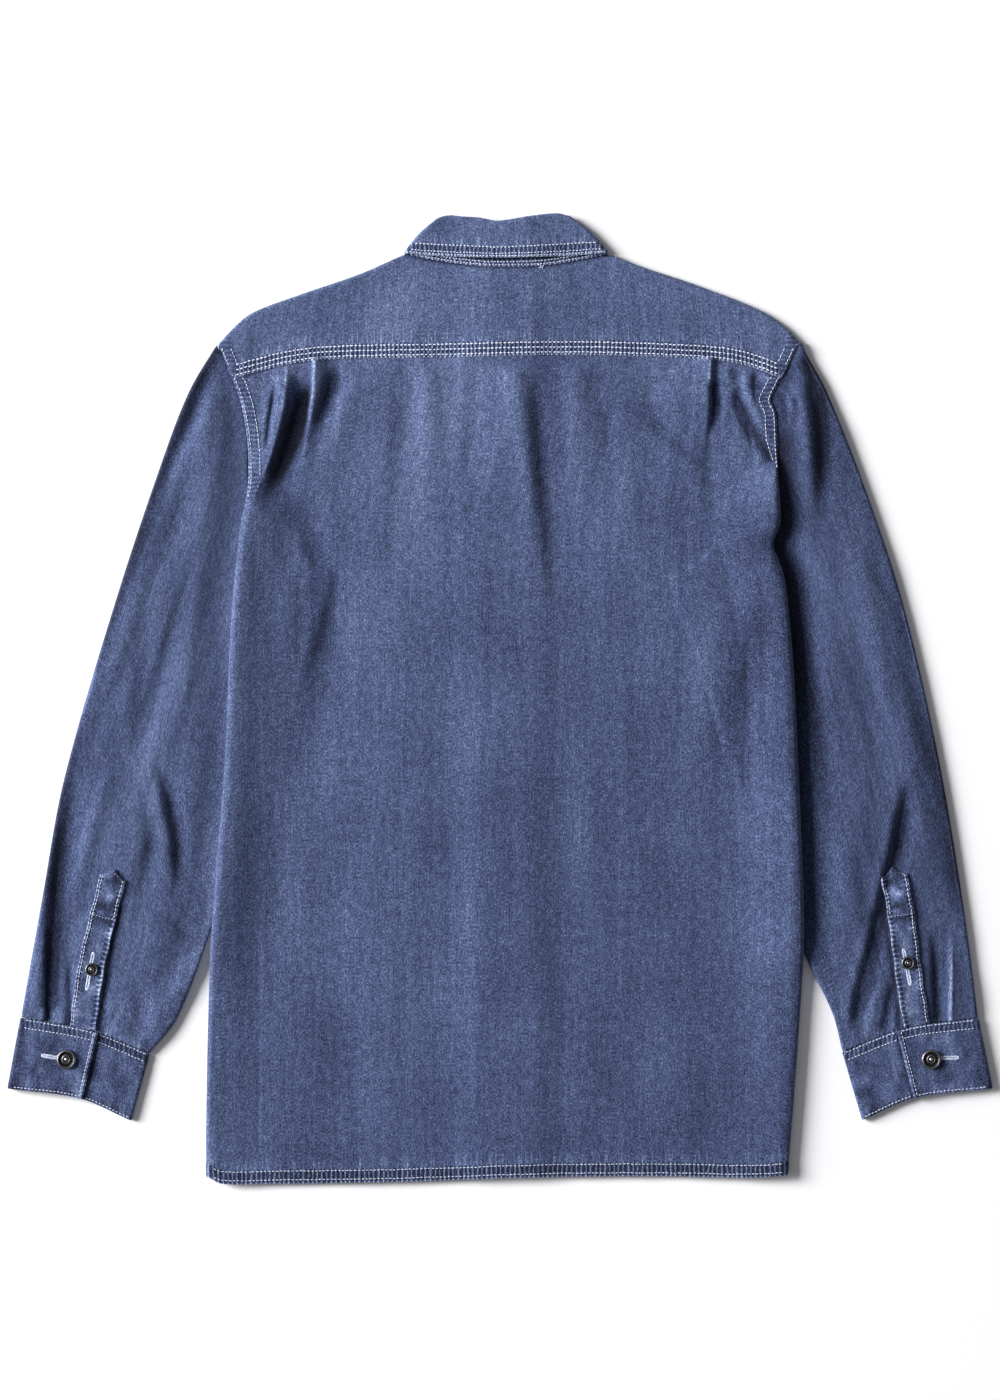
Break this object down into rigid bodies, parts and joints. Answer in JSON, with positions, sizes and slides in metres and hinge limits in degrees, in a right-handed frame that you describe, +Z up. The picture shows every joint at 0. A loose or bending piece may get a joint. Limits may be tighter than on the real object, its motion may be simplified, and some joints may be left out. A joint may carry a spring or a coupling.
{
  "type": "denim shirt",
  "caption": "Long-sleeved denim shirt with a yoke, buttoned cuffs and sleeve plackets, buttoned up and laid flat face down.",
  "frame": {"origin": "on the surface the shirt lies on, under the middle of its box", "axes": "+X towards the wearer's right, +Y towards the collar, +Z up from the surface, out of the shirt's back"},
  "size_m": [0.8366, 0.8273, 0.0162],
  "materials": {
    "denim": "washed indigo twill",
    "button_metal": "dark antiqued metal"
  },
  "bodies": {
    "root": {"back": "denim", "yoke": "denim", "front_left": "denim", "front_right": "denim", "sleeve_left": "denim", "sleeve_right": "denim", "cuff_left": "denim", "cuff_right": "denim", "placket_left": "denim", "placket_right": "denim", "collar_stand": "denim", "collar_leaf": "denim", "cuff_button_left": "button_metal", "cuff_button_right": "button_metal", "placket_button_left": "button_metal", "placket_button_right": "button_metal", "front_button_1": "button_metal", "front_button_2": "button_metal", "front_button_3": "button_metal", "front_button_4": "button_metal", "front_button_5": "button_metal", "front_button_6": "button_metal", "front_button_7": "button_metal", "collar_button": "button_metal"}
  },
  "joints": []
}
